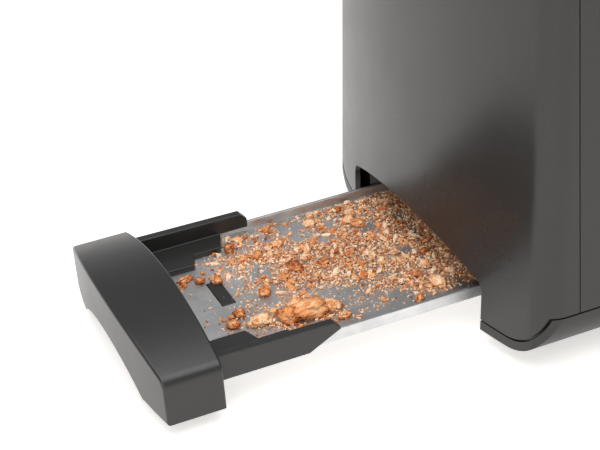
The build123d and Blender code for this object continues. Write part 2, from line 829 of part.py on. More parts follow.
with BuildPart() as magnet_coil:
    with BuildSketch(Plane.XY.offset(coil_low)):
        with Locations((core_x, core_y)):
            RectangleRounded(
                core_depth + 2 * coil_gap, core_centre_leg + 2 * coil_gap - 0.4, 2.5
            )
            Rectangle(core_depth, core_centre_leg, mode=Mode.SUBTRACT)
    extrude(amount=coil_high - coil_low)
magnet_coil.part.label = "magnet_coil"

# ---------------------------------------------------------------- controls
with BuildPart() as control_board:
    with BuildSketch(Plane.YZ.offset(board_x)):
        with Locations((control_y, (board_low + board_high) / 2)):
            Rectangle(board_width, board_high - board_low)
        with Locations(*board_posts):
            Circle(screw_diameter / 2, mode=Mode.SUBTRACT)
    extrude(amount=board_sheet)
control_board.part.label = "control_board"

with BuildPart() as board_screws:
    with BuildSketch(Plane.YZ.offset(board_x - head_depth)):
        with Locations(*board_posts):
            Circle(screw_head / 2)
    extrude(amount=head_depth)
    with BuildSketch(Plane.YZ.offset(board_x)):
        with Locations(*board_posts):
            Circle(screw_diameter / 2)
    extrude(amount=9.0)
board_screws.part.label = "board_screws"

pot_depth = 8.0
with BuildPart() as browning_pot:
    with BuildSketch(Plane.YZ.offset(board_front)):
        with Locations((control_y, knob_z)):
            RectangleRounded(16.0, 16.0, 1.5)
    extrude(amount=pot_depth)
    with BuildSketch(Plane.YZ.offset(board_front + 1.0)):
        with Locations((control_y, knob_z)):
            Circle(shaft_diameter / 2 + shaft_clearance)
    extrude(amount=pot_depth, mode=Mode.SUBTRACT)
browning_pot.part.label = "browning_pot"

knob_rear = end_skin(control_y - knob_diameter / 2, knob_z - knob_diameter / 2) + 0.5
knob_socket = 7.0
with BuildPart() as pot_shaft:
    with BuildSketch(Plane.YZ.offset(board_front + 1.3)):
        with Locations((control_y, knob_z)):
            Circle(shaft_diameter / 2)
    extrude(amount=knob_rear + knob_socket - board_front - 1.3)
pot_shaft.part.label = "pot_shaft"

with BuildPart() as browning_knob:
    with BuildSketch(Plane.YZ.offset(knob_rear)):
        with Locations((control_y, knob_z)):
            Circle(knob_diameter / 2)
    extrude(amount=knob_height, taper=3.0)
    fillet(browning_knob.edges().group_by(Axis.X)[-1], 1.6)
    with BuildSketch(Plane.YZ.offset(knob_rear)):
        with Locations((control_y, knob_z)):
            Circle(shaft_diameter / 2)
    extrude(amount=knob_socket, mode=Mode.SUBTRACT)
    with BuildSketch(Plane.YZ.offset(knob_rear + knob_height - 0.8)):
        with Locations((control_y, knob_z + knob_diameter / 4)):
            Rectangle(1.6, knob_diameter / 3)
    extrude(amount=2.0, mode=Mode.SUBTRACT)
browning_knob.part.label = "browning_knob"

switch_depth = 6.0
stem_diameter = 3.5
stem_tip = board_front + switch_depth - 2.0
with BuildPart() as tact_switches:
    with BuildSketch(Plane.YZ.offset(board_front)):
        for level in button_levels.values():
            with Locations((control_y, level)):
                Rectangle(8.0, 8.0)
    extrude(amount=switch_depth)
    with BuildSketch(Plane.YZ.offset(board_front + 1.0)):
        for level in button_levels.values():
            with Locations((control_y, level)):
                Circle(stem_diameter / 2 + shaft_clearance)
    extrude(amount=switch_depth, mode=Mode.SUBTRACT)
tact_switches.part.label = "tact_switches"

# Three push buttons, alike but for their level.
button_proud = 2.2
button_depth = 7.0
for name, level in button_levels.items():
    face_x = end_skin(control_y, level) + button_proud
    with BuildPart() as push_button:
        with BuildSketch(Plane.YZ.offset(face_x - button_depth)):
            with Locations((control_y, level)):
                RectangleRounded(button_width, button_height, 1.6)
        extrude(amount=button_depth)
        fillet(push_button.edges().group_by(Axis.X)[-1], 0.8)
        with BuildSketch(Plane.YZ.offset(stem_tip)):
            with Locations((control_y, level)):
                Circle(stem_diameter / 2)
        extrude(amount=face_x - button_depth - stem_tip)
    push_button.part.label = name + "_button"
    export_step(push_button.part, "parts/" + name + "_button.step")

# ---------------------------------------------------------------- crumb tray
tray_inner = tray_width / 2 - tray_sheet
tray_rear = handle_x + tray_length
tray_floor_z = tray_bottom + tray_sheet
slot_x = handle_x + 22.5
slot_y = 5.2
tray_hole_length = 18.5
tray_hole_width = 6.0

# Folded aluminium tray: floor, hemmed side rims, rear rim and the hole for the clip.
with BuildPart() as crumb_tray:
    with BuildSketch(Plane.YZ.offset(handle_x)):
        with Locations((0, tray_bottom + tray_sheet / 2)):
            Rectangle(tray_width, tray_sheet)
        for side in (-1, 1):
            with Locations((side * (tray_width - tray_sheet) / 2, tray_bottom + tray_rim / 2)):
                Rectangle(tray_sheet, tray_rim)
            with Locations((side * (tray_width - tray_hem) / 2, rim_top - tray_hem / 2)):
                Rectangle(tray_hem, tray_hem)
    extrude(amount=tray_length)
    with BuildSketch(Plane.YZ.offset(tray_rear - tray_sheet)):
        with Locations((0, tray_bottom + tray_rim / 2)):
            Rectangle(tray_width, tray_rim)
    extrude(amount=tray_sheet)
    with BuildSketch(Plane.XY.offset(tray_bottom - 1.0)):
        with Locations((slot_x, slot_y)):
            Rectangle(tray_hole_width, tray_hole_length)
    extrude(amount=4.0, mode=Mode.SUBTRACT)
    fillet(crumb_tray.edges().filter_by(Axis.X).group_by(Axis.Z)[0], 0.5)
crumb_tray.part.label = "crumb_tray"

arm_start = handle_x - 1.0
arm_tip = handle_x + arm_length
arm_heel = handle_x + 37.5
ledge_z = tray_floor_z + 2.4
arm_inner = tray_width / 2 - 2.0
ledge_wide = arm_inner - 18.0
ledge_narrow = arm_inner - 10.5
ledge_step = handle_x + 19.8
ledge_end = handle_x + 34.4
ledge_tip = handle_x + 38.3
lip_z = tray_bottom + 3.0  # underside of the lip that hooks over the rim
lip_start = ledge_tip - 3.0
tip_slope = 2.6
arm_top = tray_bottom + 9.7
tongue_sheet = 2.0

with BuildPart() as arms:
    # Upright wall of each arm, outside the rim, cut to its side outline.
    with BuildSketch(Plane.XZ.offset(arm_outer)):
        with BuildLine():
            Polyline(
                (arm_start, tray_bottom - 0.5),
                (arm_heel, tray_bottom - 0.5),
                (arm_tip, tray_bottom + 6.4),
                (arm_tip, arm_top - tip_slope),
                (arm_tip - tip_slope, arm_top),
                (arm_start, foot_height + handle_end_height - 0.6),
                close=True,
            )
        make_face()
    extrude(amount=-(arm_outer - tray_width / 2))
    # Lip inside the rim, with a blunt tip and a gap over the tray's floor.
    with BuildSketch(Plane.XZ.offset(tray_width / 2)):
        with BuildLine():
            Polyline(
                (arm_start, tray_floor_z + 0.05),
                (lip_start, tray_floor_z + 0.05),
                (lip_start, lip_z),
                (arm_tip, lip_z),
                (arm_tip, arm_top - tip_slope),
                (arm_tip - tip_slope, arm_top),
                (arm_start, foot_height + handle_end_height - 0.6),
                close=True,
            )
        make_face()
    extrude(amount=-(tray_width / 2 - arm_inner))
    # Ledge inside the wall, stepped and tapered.
    with BuildSketch(Plane.XY.offset(tray_floor_z + 0.05)):
        with BuildLine():
            Polyline(
                (arm_start, -arm_inner - 0.5),
                (ledge_tip, -arm_inner - 0.5),
                (ledge_tip, -arm_inner),
                (ledge_end, -ledge_narrow),
                (ledge_step + 2.5, -ledge_narrow),
                (ledge_step, -ledge_wide),
                (arm_start, -ledge_wide),
                close=True,
            )
        make_face()
    extrude(amount=ledge_z - tray_floor_z)
    mirror(about=Plane.XZ)

# Room that the arms and the handle leave for the tray.
with BuildPart() as tray_room:
    with BuildSketch(Plane.YZ.offset(handle_x)):
        with Locations((0, tray_bottom + tray_sheet / 2)):
            Rectangle(tray_width + 0.1, tray_sheet + 0.1)
        for side in (-1, 1):
            with Locations((side * (tray_width - tray_hem) / 2, tray_bottom + tray_rim / 2)):
                Rectangle(tray_hem + 0.1, tray_rim + 0.1)
    extrude(amount=tray_length)
    add(
        upright_blocks(
            [(slot_x, slot_y)], tray_hole_width, tray_hole_length, tray_bottom - 1.0, rim_top
        ),
        mode=Mode.SUBTRACT,
    )

handle_front = handle_x - handle_depth
pull_depth = 13.0
pull_height = 11.5
pull_half = 36.0
pull_flare = 14.0
pull_skirt = 3.0
rib_wall = 2.0
pocket_wall = 2.6
bow_depth = bow(end_bow_radius, handle_width / 2)
pull_back = handle_front - bow_depth + pull_depth
rib_y = pull_half - 5.0
rib_front = handle_front - bow_depth + bow(end_bow_radius, rib_y) + pull_skirt

# Handle: an arched bar bowed like the end panel, with two arms and a clip tongue.
with BuildPart() as tray_handle:
    with BuildSketch(Plane.YZ.offset(handle_front - 10.0)) as bar_section:
        half = handle_width / 2
        end = foot_height + handle_end_height
        with BuildLine():
            ThreePointArc((-half, end), (0, end + handle_arch), (half, end))
            Polyline((half, end), (half, foot_height), (-half, foot_height), (-half, end))
        make_face()
        fillet(bar_section.vertices().group_by(Axis.Y)[-1], handle_corner)
    extrude(amount=handle_x - handle_front + 10.0)
    with BuildSketch(Plane.XY) as bar_plan:
        with BuildLine():
            ThreePointArc(
                (handle_front, -half), (handle_front - bow_depth, 0), (handle_front, half)
            )
            Polyline((handle_front, half), (handle_x, half), (handle_x, -half), (handle_front, -half))
        make_face()
    extrude(amount=100.0, mode=Mode.INTERSECT)
    front_edges = tray_handle.faces().sort_by(Axis.X)[0].edges()
    fillet(front_edges, 1.2)
    rear_edges = tray_handle.faces().sort_by(Axis.X)[-1].edges().filter_by(
        lambda e: e.center().Z > foot_height + 1.0
    )
    fillet(rear_edges, 0.8)
    # Finger pull: an arch under the front edge, with flared ends.
    with BuildSketch(Plane.YZ.offset(handle_front - bow_depth - 1.0)) as pull:
        with BuildLine():
            ThreePointArc(
                (-pull_half, foot_height), (0, foot_height + pull_height), (pull_half, foot_height)
            )
            Polyline(
                (pull_half, foot_height), (half, foot_height), (half, foot_height - 2.0),
                (-half, foot_height - 2.0), (-half, foot_height), (-pull_half, foot_height),
            )
        make_face()
        fillet(pull.vertices().filter_by(lambda v: abs(abs(v.Y) - pull_half) < 0.1), pull_flare)
    extrude(amount=pull_depth + 1.0, mode=Mode.SUBTRACT)
    # Rib across each end of the pull, behind the skirt of the front face.
    add(
        upright_blocks(
            [((rib_front + pull_back) / 2, side * rib_y) for side in (-1, 1)],
            pull_back - rib_front, rib_wall, foot_height + 0.4, foot_height + pull_height - 1.0,
        )
    )
    # Pocket of the moulding, behind the pull.
    add(
        upright_blocks(
            [(handle_x - pocket_wall - 3.6, 0)], 7.2, handle_width - 4 * pocket_wall,
            foot_height - 1.0, tray_bottom - 2.6,
        ),
        mode=Mode.SUBTRACT,
    )
    add(arms.part)
    # Tongue under the tray, whose boss clips up through the hole.
    add(
        upright_blocks(
            [(handle_x + 13.0, slot_y)], 28.0, tray_hole_length + 6.0,
            tray_bottom - 0.1 - tongue_sheet, tray_bottom - 0.1,
        )
    )
    add(
        upright_blocks(
            [(slot_x, slot_y)], tab_length, tab_width, tray_bottom - 0.2, tray_floor_z + 0.4
        )
    )
    add(tray_room.part, mode=Mode.SUBTRACT)
tray_handle.part.label = "tray_handle"

# ---------------------------------------------------------------- files
pieces = [
    main_shell, tray_end_panel, control_end_panel, slot_frame, base_plate, rubber_feet,
    base_screws, cord_gland, chassis_plate_tray_end, chassis_plate_control_end,
    side_reflector_near, side_reflector_far, bread_rack_near, bread_rack_far,
    carriage_bracket, carriage_bush, lever_arm, lever_knob, latch_plate, guide_rod,
    rod_bracket, carriage_spring, magnet_core, magnet_coil, control_board, board_screws,
    browning_pot, pot_shaft, browning_knob, tact_switches, crumb_tray, tray_handle,
]
for piece in pieces:
    export_step(piece.part, "parts/" + piece.part.label + ".step")
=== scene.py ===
# %% [markdown]
# # A pop-up toaster with its crumb tray drawn out
# The design file holds every size and place of this toaster.  This lesson dresses that
# design: it gives each piece its real finish, softens the edges that a mould or a press
# leaves round, makes the wire guards, winds the spring, marks the dial, and puts the
# crumbs in the tray.  Places come from the design's own pieces.  Only the camera, the
# lights and where the crumbs lie in the tray are set here.

import json
from math import cos, pi, radians, sin

import bmesh
import bpy
from mathutils import Matrix, Vector
from mathutils import noise as smooth_noise
from mathutils.bvhtree import BVHTree


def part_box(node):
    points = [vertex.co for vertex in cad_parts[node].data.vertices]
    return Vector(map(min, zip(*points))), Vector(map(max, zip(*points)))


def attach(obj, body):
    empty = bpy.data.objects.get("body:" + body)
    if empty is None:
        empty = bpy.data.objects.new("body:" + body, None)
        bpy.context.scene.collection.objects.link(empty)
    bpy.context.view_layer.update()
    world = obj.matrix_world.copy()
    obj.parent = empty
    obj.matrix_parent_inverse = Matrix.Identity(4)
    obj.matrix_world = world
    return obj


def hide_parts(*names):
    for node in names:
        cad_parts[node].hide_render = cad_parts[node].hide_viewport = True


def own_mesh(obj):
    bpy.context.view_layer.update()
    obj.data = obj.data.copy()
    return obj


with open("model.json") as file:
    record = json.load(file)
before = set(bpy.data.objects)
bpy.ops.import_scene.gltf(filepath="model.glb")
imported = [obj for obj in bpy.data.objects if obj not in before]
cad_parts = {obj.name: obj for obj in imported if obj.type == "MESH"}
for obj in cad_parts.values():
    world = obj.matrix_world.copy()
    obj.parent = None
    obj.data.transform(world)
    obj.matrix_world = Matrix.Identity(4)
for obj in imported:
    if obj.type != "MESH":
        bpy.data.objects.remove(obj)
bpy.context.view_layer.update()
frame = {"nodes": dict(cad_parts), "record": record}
nodes = frame["nodes"]
MM = 0.001

# %% [markdown]
# ## The camera
# The view that shows this tray best is a close one, from above and almost along the end
# of the toaster.  A long lens keeps the tray's edges nearly parallel.  The camera is
# tilted a few degrees about its own axis, as a hand-held one is, so its three directions
# are worked out first and then written into its matrix.

# %% Camera
aim = Vector((-199.5, -26.8, 56.7)) * MM
distance = 628.7 * MM
azimuth = radians(-21.65)
elevation = radians(30.46)
roll = radians(-4.51)
lens_mm = 98.95

back = Vector((sin(azimuth) * cos(elevation), -cos(azimuth) * cos(elevation), sin(elevation)))
level_right = (-back).cross(Vector((0, 0, 1))).normalized()
level_up = level_right.cross(-back)
right = level_right * cos(roll) + level_up * sin(roll)
up = level_up * cos(roll) - level_right * sin(roll)

camera = bpy.data.objects.new("camera", bpy.data.cameras.new("camera"))
camera.data.lens = lens_mm
camera.data.sensor_width = 36.0
camera.data.clip_start = 0.01
turn = Matrix((right, up, back)).transposed().to_4x4()
camera.matrix_world = Matrix.Translation(aim + back * distance) @ turn
bpy.context.scene.collection.objects.link(camera)
bpy.context.scene.camera = camera
print("camera stands at", [round(n, 3) for n in camera.matrix_world.translation])

# %% [markdown]
# ## Floor and light
# Dark satin plastic shows hardly any colour of its own.  What the eye reads is what it
# reflects, and it reflects more the flatter the glance.  So the room is a pale floor that
# runs far out and glows a little, as the opal sheet of a light table does, a broad soft
# light above, a fainter one at the near side, and a sky that is dimmer overhead.  The glow
# also keeps the shadows on the floor pale.

# %% Floor and light
scene = bpy.context.scene
scene.view_settings.view_transform = "Standard"
horizon_grey = (0.8, 0.8, 0.8, 1.0)
overhead_grey = (0.32, 0.32, 0.33, 1.0)
overhead_from = 0.45  # height on a sky of radius 1
sky_strength = 0.9
floor_half = 4.0


def add_node(tree, kind, props=None, inputs=None):
    """Add a node to a tree.  A socket in inputs is linked, and any other value is set."""
    node = tree.nodes.new(kind)
    for name, value in (props or {}).items():
        setattr(node, name, value)
    for name, value in (inputs or {}).items():
        socket = node.inputs[name]
        if isinstance(value, bpy.types.NodeSocket):
            tree.links.new(value, socket)
        else:
            socket.default_value = value
    return node


def linear(hex_code):
    """A colour written as sRGB hex, turned to the linear values that Blender works in."""
    levels = [int(hex_code[i : i + 2], 16) / 255 for i in (1, 3, 5)]
    return [v / 12.92 if v <= 0.04045 else ((v + 0.055) / 1.055) ** 2.4 for v in levels] + [1.0]


def sky():
    """A plain grey sky: pale round the horizon, dimmer above."""
    world = bpy.data.worlds.new("studio")
    world.use_nodes = True
    tree = world.node_tree
    tree.nodes.clear()
    direction = add_node(tree, "ShaderNodeTexCoord")
    height = add_node(tree, "ShaderNodeSeparateXYZ", inputs={0: direction.outputs["Generated"]})
    ramp = add_node(tree, "ShaderNodeValToRGB", inputs={0: height.outputs["Z"]})
    ramp.color_ramp.elements[0].position = 0.0
    ramp.color_ramp.elements[0].color = horizon_grey
    ramp.color_ramp.elements[1].position = overhead_from
    ramp.color_ramp.elements[1].color = overhead_grey
    light = add_node(tree, "ShaderNodeBackground", inputs={0: ramp.outputs[0], 1: sky_strength})
    add_node(tree, "ShaderNodeOutputWorld", inputs={0: light.outputs[0]})
    return world


def soft_light(name, place, size, watts):
    """A square soft light that faces the toaster."""
    lamp = bpy.data.lights.new(name, "AREA")
    lamp.size = size
    lamp.energy = watts
    piece = bpy.data.objects.new(name, lamp)
    facing = (Vector((0, 0, 0.05)) - Vector(place)).to_track_quat("-Z", "Y")
    piece.matrix_world = Matrix.Translation(place) @ facing.to_matrix().to_4x4()
    scene.collection.objects.link(piece)


scene.world = sky()
soft_light("light_above", place=(-0.2, -0.3, 1.6), size=1.8, watts=31.0)
soft_light("light_near", place=(-1.3, -1.1, 0.9), size=0.9, watts=8.0)

floor_mesh = bpy.data.meshes.new("floor")
corners = [(-1, -1), (1, -1), (1, 1), (-1, 1)]
floor_mesh.from_pydata([(x * floor_half, y * floor_half, 0.0) for x, y in corners], [], [(0, 1, 2, 3)])
floor = bpy.data.objects.new("floor", floor_mesh)
scene.collection.objects.link(floor)
opal = bpy.data.materials.new("opal_acrylic_sheet")
opal.use_nodes = True
opal.node_tree.nodes.clear()
opal_shader = add_node(
    opal.node_tree,
    "ShaderNodeBsdfPrincipled",
    inputs={
        "Base Color": linear("#dedbd8"),
        "Roughness": 0.6,
        "Emission Color": linear("#fffdfa"),
        "Emission Strength": 0.6,
    },
)
add_node(opal.node_tree, "ShaderNodeOutputMaterial", inputs={"Surface": opal_shader.outputs[0]})
floor_mesh.materials.append(opal)
print("floor is", 2 * floor_half, "m square, under a sky and two soft lights")

# %% [markdown]
# ## Finishes
# Each finish starts from the real material and how its surface was made.  Patterns are
# written in millimetres and turned to the scale that a noise node wants by one function.

# %% How finishes are built
finishes = {}


def per_metre(size_mm):
    """The texture scale whose features are about size_mm across."""
    return 1.0 / (size_mm * MM)


def new_finish(name, colour, roughness, metallic=0.0, ior=1.5):
    """A finish with one Principled shader; gives its tree, that shader and a place in it."""
    finishes[name] = bpy.data.materials.new(name)
    finishes[name].use_nodes = True
    tree = finishes[name].node_tree
    tree.nodes.clear()
    shader = add_node(
        tree,
        "ShaderNodeBsdfPrincipled",
        inputs={"Base Color": linear(colour), "Roughness": roughness, "Metallic": metallic, "IOR": ior},
    )
    add_node(tree, "ShaderNodeOutputMaterial", inputs={"Surface": shader.outputs[0]})
    place = add_node(tree, "ShaderNodeTexCoord").outputs["Object"]
    return tree, shader, place


def noise(tree, place, size_mm, detail=2.0, roughness=0.5, stretch=None):
    """Noise whose features are size_mm across, stretched along an axis if asked."""
    if stretch:
        place = add_node(tree, "ShaderNodeMapping", inputs={"Vector": place, "Scale": stretch}).outputs[0]
    node = add_node(
        tree,
        "ShaderNodeTexNoise",
        inputs={"Vector": place, "Scale": per_metre(size_mm), "Detail": detail, "Roughness": roughness},
    )
    return node.outputs[0]


def spread(tree, value, low, high, start=0.0, end=1.0):
    """Turn a value that runs from start to end into one that runs from low to high."""
    node = add_node(
        tree,
        "ShaderNodeMapRange",
        inputs={"Value": value, "From Min": start, "From Max": end, "To Min": low, "To Max": high},
    )
    return node.outputs[0]


def mix(tree, factor, first, second):
    """Blend two colours by a factor."""
    node = add_node(tree, "ShaderNodeMix", {"data_type": "RGBA"}, {0: factor, 6: first, 7: second})
    return node.outputs[2]


def bump(tree, shader, height, depth_mm, strength=1.0):
    """Raise the surface by a height pattern, depth_mm from its lowest to its highest."""
    node = add_node(
        tree,
        "ShaderNodeBump",
        inputs={"Strength": strength, "Distance": depth_mm * MM, "Height": height},
    )
    tree.links.new(node.outputs[0], shader.inputs["Normal"])


# %% [markdown]
# ### Moulded plastic
# The housing and the handle are injection-moulded ABS.  The mould was spark-eroded, which
# leaves a fine even grain of about a tenth of a millimetre.  It is drawn several times
# coarser here, because a finer one would not show.  The grain makes the plastic satin: a
# wide soft reflection, bright only where the eye skims it.

# %% Moulded plastic
handling_mark_mm = 38.0
handling_shine = 0.035  # how far handling changes the roughness, either way


def moulded_plastic(name, colour, roughness, grain_mm=0.7, grain_depth_mm=0.012):
    """Satin moulded plastic with spark-eroded grain and faint handling marks."""
    tree, shader, place = new_finish(name, colour, roughness)
    grain = noise(tree, place, grain_mm, detail=3.0, roughness=0.6)
    marks = noise(tree, place, handling_mark_mm, detail=4.0, roughness=0.55)
    worn = spread(tree, marks, roughness - handling_shine, roughness + handling_shine, 0.3, 0.7)
    tree.links.new(worn, shader.inputs["Roughness"])
    tint = spread(tree, grain, 0.0, 0.3, 0.35, 0.75)
    lighter = [min(1.0, v * 1.7 + 0.004) for v in linear(colour)[:3]] + [1.0]
    tree.links.new(mix(tree, tint, linear(colour), lighter), shader.inputs["Base Color"])
    bump(tree, shader, grain, grain_depth_mm, 0.6)


moulded_plastic("satin_abs_housing", "#22201f", 0.29)
moulded_plastic("satin_abs_handle", "#242423", 0.33)
moulded_plastic("satin_abs_base", "#1c1c1c", 0.42)
moulded_plastic("satin_abs_controls", "#262626", 0.34)
moulded_plastic("satin_abs_buttons", "#4a4a4b", 0.34)
moulded_plastic("moulded_nylon_components", "#1d1e20", 0.48)
moulded_plastic("moulded_rubber", "#1a1a1a", 0.75, grain_mm=0.5, grain_depth_mm=0.02)
plastic_count = len(finishes)
print("plastics:", sorted(finishes))

# %% [markdown]
# ### Rolled and brushed metal
# The tray is rolled aluminium sheet, and the frame round the slots is brushed stainless
# steel.  Both were dragged one way when they were made, so their fine lines are noise that
# is stretched along X.  A used tray also has a dull film of grease and bread dust, which
# shows as a warmer, darker tint in patches.

# %% Metals
ALONG_X = (0.02, 1.0, 1.0)
film_patch_mm = 22.0
line_depth_mm = 0.010


def dragged_metal(name, colour, roughness, line_mm, stretch, film="#8a8580", film_share=0.35):
    """Metal with fine drawn-out lines and a patchy dull film."""
    tree, shader, place = new_finish(name, colour, roughness, metallic=1.0)
    lines = noise(tree, place, line_mm, detail=3.0, roughness=0.65, stretch=stretch)
    patches = noise(tree, place, film_patch_mm, detail=5.0, roughness=0.6)
    dull = spread(tree, patches, 0.0, film_share, 0.42, 0.68)
    tree.links.new(mix(tree, dull, linear(colour), linear(film)), shader.inputs["Base Color"])
    grain = spread(tree, lines, roughness - 0.05, roughness + 0.09, 0.3, 0.7)
    tree.links.new(grain, shader.inputs["Roughness"])
    bump(tree, shader, lines, line_depth_mm, 0.5)


dragged_metal("rolled_aluminium", "#d8d9da", 0.44, 0.5, ALONG_X)
dragged_metal("brushed_stainless", "#c9c8c5", 0.26, 0.35, ALONG_X, film_share=0.1)
dragged_metal("plated_sheet_steel", "#b4b5b4", 0.38, 0.6, (0.05, 1.0, 1.0), film="#8f8b84")
dragged_metal("ground_steel", "#c2c2c0", 0.25, 0.4, (1.0, 1.0, 0.03), film_share=0.1)
dragged_metal("bright_plated_wire", "#cfcdc9", 0.18, 0.5, ALONG_X, film="#8c7a62", film_share=0.4)
dragged_metal("zinc_plated_screw", "#9d9e9f", 0.35, 0.5, (1.0, 1.0, 1.0))
dragged_metal("oxidised_nichrome", "#8f8a84", 0.42, 0.5, ALONG_X, film="#5b4f45", film_share=0.6)
dragged_metal("laminated_iron", "#5c5d60", 0.45, 0.5, (0.05, 1.0, 1.0))
dragged_metal("enamelled_copper", "#b8653a", 0.28, 0.3, (1.0, 1.0, 0.1), film="#8e4526")
print("metals:", len(finishes) - plastic_count)

# %% [markdown]
# ### Mica and circuit board
# The heater cards are sheets of pressed mica flakes: pale amber with a pearly, patchy
# shine.  The circuit board has a green solder mask over its copper, which gives a low gloss
# with slightly raised tracks.

# %% Mica and circuit board
mica_flake_mm = 4.0
track_pitch_mm = 6.0


def mica(name):
    """Pressed mica flakes: patches a few millimetres across, each with its own shine."""
    tree, shader, place = new_finish(name, "#b59c6c", 0.35, ior=1.58)
    flakes = add_node(
        tree, "ShaderNodeTexVoronoi", inputs={"Vector": place, "Scale": per_metre(mica_flake_mm)}
    )
    tint = spread(tree, flakes.outputs["Distance"], 0.0, 1.0, 0.0, 0.7)
    tree.links.new(mix(tree, tint, linear("#bfa779"), linear("#94794b")), shader.inputs["Base Color"])
    shine = noise(tree, place, 5.0, detail=1.0)
    tree.links.new(spread(tree, shine, 0.22, 0.55, 0.3, 0.7), shader.inputs["Roughness"])
    bump(tree, shader, flakes.outputs["Distance"], 0.05, 0.4)


def solder_mask(name):
    """Green solder mask with raised copper tracks under it."""
    tree, shader, place = new_finish(name, "#1d4a26", 0.3)
    tracks = add_node(
        tree,
        "ShaderNodeTexBrick",
        inputs={"Vector": place, "Scale": per_metre(track_pitch_mm), "Mortar Size": 0.08},
    )
    tree.links.new(
        mix(tree, tracks.outputs["Fac"], linear("#1d4a26"), linear("#3a6b34")),
        shader.inputs["Base Color"],
    )
    bump(tree, shader, tracks.outputs["Fac"], 0.035, 0.6)


mica("pressed_mica")
solder_mask("solder_mask_board")
print("finishes so far:", len(finishes))

# %% [markdown]
# ## The design's pieces get their finishes
# The design names a material slot for every piece.  Each slot is matched to a finish here,
# and the pieces inside the toaster, whose shapes are already right, simply wear it.

# %% Finish of every slot
slot_finish = {
    "housing": "satin_abs_housing",
    "handle": "satin_abs_handle",
    "base": "satin_abs_base",
    "controls": "satin_abs_controls",
    "buttons": "satin_abs_buttons",
    "component_plastic": "moulded_nylon_components",
    "rubber": "moulded_rubber",
    "slot_frame": "brushed_stainless",
    "tray": "rolled_aluminium",
    "sheet_steel": "plated_sheet_steel",
    "bright_steel": "ground_steel",
    "guard_wire": "bright_plated_wire",
    "screws": "zinc_plated_screw",
    "resistance_wire": "oxidised_nichrome",
    "core_iron": "laminated_iron",
    "copper_winding": "enamelled_copper",
    "mica": "pressed_mica",
    "circuit_board": "solder_mask_board",
}
slot_of = {row["node"]: row["material_slot"] for row in frame["record"]["subparts"]}
body_of = {
    node: body for body, members in frame["record"]["behaviour"]["bodies"].items() for node in members
}


def finish_of(node):
    """The finish that a design piece wears."""
    return finishes[slot_finish[slot_of[node]]]


for name, piece in nodes.items():
    piece.data.materials.clear()
    piece.data.materials.append(finish_of(name))
print(len(nodes), "design pieces wear", len(set(slot_of.values())), "finishes")

# %% [markdown]
# ## Soft edges on what shows
# A mould or a press never leaves a knife edge.  A copy of each visible piece is welded and,
# where the list below gives it a width, a small bevel goes round the edges that are still
# sharp: about a fifth of a millimetre, enough to catch a thin line of light.  A piece whose
# width is 0.0 is only welded.  Weighting the normals by face area keeps the large curved
# faces calm next to their small corner faces.

# %% Soft edges
FLAT_ANGLE = radians(0.05)
SMOOTH_ANGLE = radians(32.0)
WELD = 0.002 * MM
NORMAL_WEIGHT = 80


def plain_mesh(piece):
    """The mesh that a piece with live modifiers has once they are all applied."""
    seen = piece.evaluated_get(bpy.context.evaluated_depsgraph_get())
    return bpy.data.meshes.new_from_object(seen)


def settle(name, mesh, body, finish, replaced=()):
    """Put a finished mesh in the scene on its body, with its finish, hiding the pieces it replaces."""
    mesh.name = name
    mesh.materials.clear()
    mesh.materials.append(finish)
    piece = bpy.data.objects.new(name, mesh)
    scene.collection.objects.link(piece)
    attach(piece, body)
    if replaced:
        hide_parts(*replaced)
    print(name, "has", len(mesh.polygons), "faces")
    return piece


def soft_edged(node, edge_mm):
    """A welded copy of a design piece with a small bevel on its sharp edges."""
    mesh = nodes[node].data.copy()
    shape = bmesh.new()
    shape.from_mesh(mesh)
    bmesh.ops.remove_doubles(shape, verts=shape.verts, dist=WELD)
    if edge_mm:
        bmesh.ops.dissolve_limit(
            shape, angle_limit=FLAT_ANGLE, verts=shape.verts, edges=shape.edges, delimit=set()
        )
    for face in shape.faces:
        face.smooth = True
    for edge in shape.edges:
        edge.smooth = edge.calc_face_angle(pi) < SMOOTH_ANGLE
    shape.to_mesh(mesh)
    shape.free()
    piece = bpy.data.objects.new(node + "_draft", mesh)
    scene.collection.objects.link(piece)
    if edge_mm:
        rounding = piece.modifiers.new("edges", "BEVEL")
        rounding.width = edge_mm * MM
        rounding.segments = 2
        rounding.limit_method = "ANGLE"
        rounding.angle_limit = SMOOTH_ANGLE
        rounding.use_clamp_overlap = False
    calm = piece.modifiers.new("normals", "WEIGHTED_NORMAL")
    calm.keep_sharp = True
    calm.weight = NORMAL_WEIGHT
    finished = plain_mesh(piece)
    bpy.data.objects.remove(piece)
    settle(node + "_soft", finished, body_of[node], finish_of(node), [node])


soft_edges_mm = {
    "tray_end_panel": 0.0,
    "control_end_panel": 0.0,
    "main_shell": 0.0,
    "base_plate": 0.0,
    "slot_frame": 0.2,
    "tray_handle": 0.25,
    "crumb_tray": 0.15,
    "lever_knob": 0.0,
    "browning_knob": 0.25,
    "cancel_button": 0.0,
    "reheat_button": 0.0,
    "defrost_button": 0.0,
    "cord_gland": 0.0,
    "rubber_feet": 0.0,
}
for node, edge in soft_edges_mm.items():
    soft_edged(node, edge)

# %% [markdown]
# ## Geometry Nodes, once
# What repeats is made by node trees that are built here.  Every tree takes its sizes as
# named inputs, and a modifier sets them by the socket's identifier.  The result is turned
# to a plain mesh at once, because the exported model keeps no modifiers and no instances.

